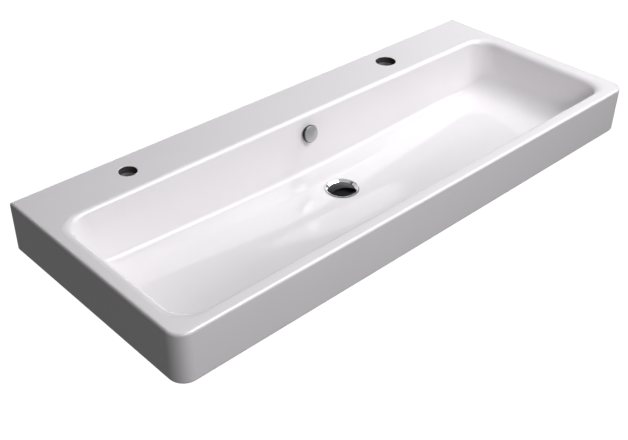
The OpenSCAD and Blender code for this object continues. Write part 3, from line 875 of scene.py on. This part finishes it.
def duct_block(bm):
    """Overflow duct behind and under the bowl, as a solid block."""
    s, f = sizes(), fittings()
    wall, room, width, spare, beyond = 9 * MM, 12 * MM, 44 * MM, 2 * MM, 8 * MM
    inside = s.bowl_t / 2
    top = f.over_drop - f.over_hole_r - spare
    roof = s.bowl_depth + s.floor_fall + f.boss_h / 2 - spare
    low = roof + room
    mouth_y = -f.waste_y - f.hole_r - beyond
    points = [
        (shell_y(top) - inside, wall - top),
        (shell_y(top) + room + wall, wall - top),
        (shell_y(low) + room + wall, -low - wall),
        (mouth_y, -low - wall),
        (mouth_y, wall - roof),
        (shell_y(s.bowl_depth) - s.rear_fillet - inside, wall - roof),
        (shell_y(s.bowl_depth) - inside, -s.bowl_depth),
    ]
    plate(bm, points, 0, width + 2 * wall)


def webs():
    """The webs behind the bowl, and the overflow duct, before anything is bored."""
    s = sizes()
    bm = bmesh.new()
    top, low = s.deck_t / 2, s.apron - s.edge_r
    points = [(-s.rear_t / 2, -top), (-s.rear_t / 2, -low)]
    points += [(shell_y(drop) - s.bowl_t / 2, -drop) for drop in (low, top)]
    for side in (-1, 1):
        plate(bm, points, side * s.web_gap / 2, s.web_t)
    duct_block(bm)
    return piece("webs", bm, None)


def tap_holes():
    """Place along the wall and radius of each tap hole."""
    s = sizes()
    return (-s.tap_left, s.tap_left_r), (s.tap_right, s.tap_right_r)


def bores():
    """Cutters for the tap holes, the fixing holes, the overflow hole and the waste hole."""
    s, f = sizes(), fittings()
    bm = bmesh.new()
    for x, r in tap_holes():
        flared_rod(bm, r, Matrix.Translation((x, -s.tap_y, s.deck_z)))
    facing = Matrix.Rotation(math.pi / 2, 4, "X")
    for gap in (s.fix_inner, s.fix_outer):
        for side in (-1, 1):
            foot = Matrix.Translation((side * gap / 2, s.rear_t / 2, 0))
            rod(bm, s.fix_r, 2 * s.rear_t, foot @ facing)
    behind, below = 1.5 * s.bowl_t, 5 * MM
    rod(bm, f.over_hole_r, 2 * s.bowl_t, over_place() @ lift(-behind))
    rod(bm, f.hole_r, f.boss_h, waste_place() @ lift(-f.boss_h - below), f.turn_steps)
    return piece("bores", bm, None)


def in_tap_hole(spot):
    """Whether a point lies on the wall of a tap hole, below its glaze edge."""
    s = sizes()
    level = s.deck_z - s.deck_t - MM < spot.z < s.deck_z - s.tap_edge / 2
    return level and any(
        abs((spot.xy - Vector((x, -s.tap_y))).length - r) < ON_BORE for x, r in tap_holes()
    )


class BASIN_OT_ceramic(bpy.types.Operator):
    """Models the ceramic body in one loop of rings, then adds webs and duct and cuts the holes"""

    bl_idname = "basin.ceramic"
    bl_label = "Ceramic body"

    def execute(self, context):
        bm = bmesh.new()
        loft(bm, ceramic_rings())
        body = piece("basin_ceramic", bm, None)
        combine(body, webs(), "UNION")
        combine(body, bores(), "DIFFERENCE")
        self.glaze(body.data)
        smooth(body.data)
        modifier = body.modifiers.new("even faces", "WEIGHTED_NORMAL")
        modifier.keep_sharp = True
        modifier.weight = 100
        settle(body, FIXED_BODY, "glazed_ceramic", "basin")
        return {"FINISHED"}

    def glaze(self, mesh):
        """Glaze all round, except on the face at the wall; the walls of the tap holes get painted
        shade.
        """
        mesh.materials.clear()
        # the third material paints shade on the walls of the tap holes
        for material in (glazed_ceramic("vitreous_china_glaze"), bisque(), tap_hole_painted_shade()):
            mesh.materials.append(material)
        bm = bmesh.new()
        bm.from_mesh(mesh)
        for face in bm.faces:
            corners = [v.co for v in face.verts]
            at_wall = all(abs(p.y) < ON_WALL for p in corners)
            in_tap = all(in_tap_hole(p) for p in corners)
            face.material_index = 1 if at_wall else 2 if in_tap else 0
        bm.to_mesh(mesh)
        bm.free()


# Waste, plug and overflow


LIP_W = 2.2 * MM  # width of the flange's lip, which lies on its seal
LIP_Z = 1.4 * MM  # underside of the lip
TURNED_EDGE, CAP_EDGE = 0.5 * MM, 0.4 * MM  # how far the lathe rounds the edges
# From the flange's top to the throat: shares of the way in and of the way down
DISH = ((0.02, 0.04), (0.09, 0.0), (0.17, 0.03), (0.42, 0.42), (0.55, 0.56), (0.76, 0.82), (1, 1))
# Thread: shares of the pitch where the root ends, and where the crest ends and starts
THREAD = (0.8, 0.5, 0.3)


def dish_profile():
    """Waste flange, dish and tail: radii and heights from the floor."""
    f = fittings()
    rim_top, throat_z, thickness = 1.8 * MM, -8.6 * MM, 2.6 * MM
    edge, shoulder, under_z = 0.2 * MM, 2.4 * MM, throat_z - thickness
    dish = [(mix(f.flange_r, f.throat_r, a), mix(rim_top, throat_z, b)) for a, b in DISH]
    return (
        [(f.flange_r, LIP_Z), (f.flange_r, rim_top - edge)]
        + dish
        + [
            (f.throat_r, -f.tail_l),
            (f.tail_core, -f.tail_l),
            (f.tail_core, under_z),
            (f.tail_core + shoulder, under_z),
            (f.flange_r - LIP_W, -edge),
            (f.flange_r - LIP_W, LIP_Z),
        ]
    )


def oblong(inner, outer, low, high):
    """Outline of a ring of oblong section."""
    return [(inner, low), (outer, low), (outer, high), (inner, high)]


def wind_thread(bm, steps=48):
    """Winds the tail's thread, from its foot to the nut."""
    f = fittings()
    top = NUT_LOW.z - waste_place().translation.z
    turns = int((top + f.tail_l) / f.pitch) - 1
    sunk, lead = 0.2 * MM, 0.8 * MM
    root, foot = f.tail_core - sunk, lead - f.tail_l
    root_end, crest_end, crest_start = (f.pitch * share for share in THREAD)
    section = ((root, 0), (root, root_end), (f.tail_r, crest_end), (f.tail_r, crest_start))
    bm.faces.new([bm.verts.new((r, 0, foot + z)) for r, z in section])
    bmesh.ops.spin(
        bm, geom=bm.verts[:] + bm.edges[:] + bm.faces[:], axis=(0, 0, 1), cent=(0, 0, 0),
        dvec=(0, 0, f.pitch / steps), steps=steps * turns, angle=2 * math.pi * turns,
    )
    bmesh.ops.transform(bm, matrix=waste_place(), verts=bm.verts)


class BASIN_OT_waste(bpy.types.Operator):
    """Turns the waste flange with its dish, tail and seal, and winds the tail's thread"""

    bl_idname = "basin.waste"
    bl_label = "Waste"

    def execute(self, context):
        f, place = fittings(), waste_place()
        profile = softened(dish_profile(), TURNED_EDGE)
        flange = turned("waste_flange", profile, place, chrome_plate())
        settle(flange, FIXED_BODY, "chrome", "waste_body")
        bm = bmesh.new()
        wind_thread(bm)
        settle(piece("tail_thread", bm, chrome_plate()), FIXED_BODY, "chrome")
        ring = oblong(f.flange_r - LIP_W, f.flange_r, GAP, LIP_Z)
        settle(turned("flange_seal", ring, place, black_rubber()), FIXED_BODY, "rubber")
        dress(black_rubber(), "waste_gasket", "seat_washer")
        dress(white_resin(), "slip_washer")
        dress(turned_brass(), "backnut")
        return {"FINISHED"}


class BASIN_OT_plug(bpy.types.Operator):
    """Turns the domed plug and finishes its seal, its hub and the press mechanism"""

    bl_idname = "basin.plug"
    bl_label = "Plug"

    def execute(self, context):
        # the plug's chrome is drawn near-black, a painted reflection of a dark room
        plug = turned("plug_dome", self.profile(), waste_place(), plug_painted_dark_reflection())
        settle(plug, PLUG_BODY, "chrome", "plug_cap")
        dress(black_rubber(), "plug_seal")
        dress(white_resin(), "plug_hub")
        dress(stainless_steel(), "plunger", "index_ring", "return_spring")
        dress(chrome_plate(), "cartridge_barrel", "index_pins")
        dress(turned_brass(), "cartridge_bridge", "cartridge_locknut", "guide_bush")
        return {"FINISHED"}

    def profile(self):
        """A shallow dome with a rounded edge, hollow below."""
        f = fittings()
        rim_z, edge, wall, skirt = -2.9 * MM, 1.3 * MM, 1.6 * MM, 2.6 * MM
        bore, steps = f.plug_r - skirt, 14

        def dome(r, rise):
            shares = [i / steps for i in range(steps + 1)]
            return [(r * share, rim_z + edge + rise * (1 - share**2)) for share in shares]

        rim = [
            (f.plug_r - edge / 6, rim_z + edge * 0.75),
            (f.plug_r, rim_z + edge / 2),
            (f.plug_r, rim_z),
            (bore, rim_z),
        ]
        return dome(f.plug_r - edge / 2, f.crown) + rim + dome(bore, f.crown - wall)[::-1]


class BASIN_OT_overflow(bpy.types.Operator):
    """Turns the overflow cap and a black ring behind it as painted shade of the gap, and finishes
    the parts that hold it
    """

    bl_idname = "basin.overflow"
    bl_label = "Overflow"

    def execute(self, context):
        f, place = fittings(), over_place()
        cap_z, stem_r, stem_z, face_t = 8 * MM, 2 * MM, -2.6 * MM, 1.4 * MM
        reveal, overlap, behind = 1.1 * MM, 4 * MM, 2 * MM
        top, face_r = cap_z + f.over_cap_t, f.over_cap_r - reveal
        back = top - face_t
        stem = [(0, stem_z), (stem_r, stem_z), (stem_r, back)]
        cap = softened(stem + [(face_r, back), (face_r, top), (0, top)], CAP_EDGE)
        disc = turned("overflow_disc", cap, place, satin_chrome())
        settle(disc, FIXED_BODY, "chrome", "overflow_cap")
        # painted shade: a black rubber ring fills the gap behind the cap, where the shadow falls
        ring = oblong(face_r - overlap, f.over_cap_r, cap_z - behind, back)
        shade_ring = turned("overflow_shade_ring", softened(ring, TURNED_EDGE), place, black_rubber())
        settle(shade_ring, FIXED_BODY, "rubber")
        dress(black_rubber(), "overflow_gasket")
        # painted shade: the overflow body is drawn near-black for the shadow behind the cap
        dress(gap_painted_shade(), "overflow_body")
        return {"FINISHED"}


# Stage


AIM_X, AIM_Y = -0.2442, -0.3937  # where the middle of the picture meets the deck's height
BASIN_LEFT, BASIN_RIGHT = (-0.1, -0.24, 0), (0.1, -0.24, 0)
# Lamps: width, height, watts, place, what it lights, and whether gloss mirrors it. The two that
# it doesn't mirror would be bright patches on the floor of the bowl.
LAMPS = {
    "front": (1.0, 0.6, 13.5, (-0.9, -2.1, 1.2), (-0.1, -0.3, 0), True),
    "front_high": (0.9, 0.7, 19.5, (0.3, -1.7, 1.9), BASIN_LEFT, True),
    "front_right": (0.9, 0.7, 8, (0.8, -1.6, 1.9), BASIN_RIGHT, True),
    "right": (0.9, 0.9, 19, (1.6, -0.2, 1.5), BASIN_RIGHT, False),
    "rear": (0.8, 0.8, 11.5, (1.1, 0.7, 1.9), BASIN_RIGHT, False),
}
# The room that gloss mirrors: from and to a height or a facing, and the brightness at each
BAND = ("From Min", "From Max", "To Min", "To Max")
WALLS = (0.05, 0.3, 0.4, 0.02)
OVERHEAD = (0.65, 0.85, 0.0, 0.6)
WINDOW = (0.78, 0.95, 0.0, 4.5)
WINDOW_SIDE = (0.6, -0.48, 0.64)
FLOOR_IN_GLOSS = 0.27
FLOOR_MATT = 0.12
SKY_LIGHT = 0.015  # light that the backdrop throws on surfaces
NO_BOUNCE = 0.5  # the diffuse depth of an unscattered ray is under this
FLOOR_REACH = 8  # metres
SENSOR_W = 36  # millimetres, which the focal length goes with


def sight(tree, mirrored):
    """One for rays from the camera, so much for mirrors and glass, and nought for light."""
    path = add(tree, "ShaderNodeLightPath").outputs
    value = path["Is Glossy Ray"]
    for operation, other in (
        ("MAXIMUM", path["Is Transmission Ray"]),
        ("MULTIPLY", mirrored),
        ("MAXIMUM", path["Is Camera Ray"]),
    ):
        value = add(tree, "ShaderNodeMath", {0: value, 1: other}, operation=operation).outputs[0]
    return value


@finish
def floor_paint(tree, white):
    """Matt paint: white to the camera and dim in gloss, with the basin's shadow on it."""
    matt = add(tree, "ShaderNodeBsdfDiffuse", {"Color": shade(white, FLOOR_MATT)})
    glow = add(
        tree,
        "ShaderNodeEmission",
        {"Color": shade(white, 1.0), "Strength": sight(tree, FLOOR_IN_GLOSS)},
    )
    both = add(tree, "ShaderNodeAddShader", {0: matt.outputs[0], 1: glow.outputs[0]})
    return both.outputs[0]


class BASIN_OT_stage(bpy.types.Operator):
    """Sets the camera, the pale floor, the backdrop and the soft lamps"""

    bl_idname = "basin.stage"
    bl_label = "Stage"

    def execute(self, context):
        scene, studio = context.scene, context.scene.studio
        scene.view_settings.view_transform = "Standard"
        self.camera(scene, studio)
        self.floor(studio)
        self.backdrop(scene, studio)
        self.lamps(scene)
        return {"FINISHED"}

    def camera(self, scene, studio):
        """Aims the camera at the deck, turned about its own axis by its roll."""
        az, el, roll = studio.azimuth, studio.elevation, studio.roll
        back = Vector((math.sin(az) * math.cos(el), -math.cos(az) * math.cos(el), math.sin(el)))
        right = (-back).cross(Vector((0, 0, 1))).normalized()
        up = right.cross(-back)
        across = right * math.cos(roll) + up * math.sin(roll)
        above = up * math.cos(roll) - right * math.sin(roll)
        data = bpy.data.cameras.new("camera")
        data.lens = studio.lens
        data.sensor_width = SENSOR_W
        camera = bpy.data.objects.new("camera", data)
        scene.collection.objects.link(camera)
        facing = Matrix((across, above, back)).transposed().to_4x4()
        spot = Vector((AIM_X, AIM_Y, sizes().deck_z)) + back * studio.distance
        camera.matrix_world = Matrix.Translation(spot) @ facing
        scene.camera = camera

    def floor(self, studio):
        """Lays the floor well below the basin."""
        bm = bmesh.new()
        bmesh.ops.create_grid(bm, x_segments=1, y_segments=1, size=FLOOR_REACH)
        bmesh.ops.translate(bm, vec=(0, 0, -studio.floor_drop), verts=bm.verts)
        piece("floor", bm, floor_paint("painted_floor", studio.white))

    def backdrop(self, scene, studio):
        """White to the camera. Gloss sees a dim room with light walls, a lit ceiling and one big
        window, but only where no matt surface has scattered the ray before."""
        world = bpy.data.worlds.new("backdrop")
        scene.world = world
        world.use_nodes = True
        tree = world.node_tree
        tree.nodes.clear()
        place = add(tree, "ShaderNodeTexCoord").outputs["Generated"]
        height = add(tree, "ShaderNodeSeparateXYZ", {0: place}).outputs["Z"]
        window = add(
            tree,
            "ShaderNodeVectorMath",
            {0: place, 1: Vector(WINDOW_SIDE).normalized()},
            operation="DOT_PRODUCT",
        ).outputs["Value"]
        room = 0.0
        for source, band in ((height, WALLS), (height, OVERHEAD), (window, WINDOW)):
            part = add(
                tree,
                "ShaderNodeMapRange",
                {"Value": source, **dict(zip(BAND, band))},
                interpolation_type="SMOOTHSTEP",
            )
            total = add(tree, "ShaderNodeMath", {0: room, 1: part.outputs[0]}, operation="ADD")
            room = total.outputs[0]
        depth = add(tree, "ShaderNodeLightPath").outputs["Diffuse Depth"]
        clear = add(tree, "ShaderNodeMath", {0: depth, 1: NO_BOUNCE}, operation="LESS_THAN")
        shown = add(tree, "ShaderNodeMath", {0: clear.outputs[0], 1: room}, operation="MULTIPLY")
        strength = add(
            tree,
            "ShaderNodeMapRange",
            {"Value": sight(tree, shown.outputs[0]), "To Min": SKY_LIGHT, "To Max": 1.0},
            clamp=False,
        )
        sky = add(
            tree,
            "ShaderNodeBackground",
            {"Color": shade(studio.white, 1.0), "Strength": strength.outputs[0]},
        )
        add(tree, "ShaderNodeOutputWorld", {0: sky.outputs[0]})

    def lamps(self, scene):
        """Hangs the soft lamps."""
        for name, (width, height, power, spot, target, mirrored) in LAMPS.items():
            light = bpy.data.lights.new(name, "AREA")
            light.shape = "RECTANGLE"
            light.size, light.size_y = width, height
            light.energy = power
            obj = bpy.data.objects.new(name, light)
            scene.collection.objects.link(obj)
            obj.location = spot
            away = Vector(spot) - Vector(target)
            obj.rotation_euler = away.to_track_quat("Z", "Y").to_euler()
            obj.visible_glossy = mirrored


class BASIN_PT_panel(bpy.types.Panel):
    """Lists the steps that build the basin."""

    bl_label = "Trough basin"
    bl_idname = "BASIN_PT_panel"
    bl_space_type = "VIEW_3D"
    bl_region_type = "UI"
    bl_category = "Basin"

    def draw(self, context):
        for step in STEPS:
            self.layout.operator(step.bl_idname)


STEPS = (BASIN_OT_stage, BASIN_OT_ceramic, BASIN_OT_waste, BASIN_OT_plug, BASIN_OT_overflow)
GROUPS = {
    "basin_sizes": BasinSizes,
    "fitting_sizes": FittingSizes,
    "finish_colours": FinishColours,
    "studio": StudioSettings,
}
CLASSES = (*GROUPS.values(), *STEPS, BASIN_PT_panel)


def register():
    """Registers the classes and hangs their settings on the scene."""
    for cls in CLASSES:
        bpy.utils.register_class(cls)
    for name, cls in GROUPS.items():
        setattr(bpy.types.Scene, name, PointerProperty(type=cls))


def unregister():
    """Takes the settings off the scene and the classes out again."""
    for name in GROUPS:
        delattr(bpy.types.Scene, name)
    for cls in reversed(CLASSES):
        bpy.utils.unregister_class(cls)


def main():
    """Builds the stage and the basin."""
    register()
    bpy.ops.basin.stage()
    bpy.ops.basin.ceramic()
    bpy.ops.basin.waste()
    bpy.ops.basin.plug()
    bpy.ops.basin.overflow()
    bpy.context.view_layer.update()


if __name__ == "__main__":
    main()
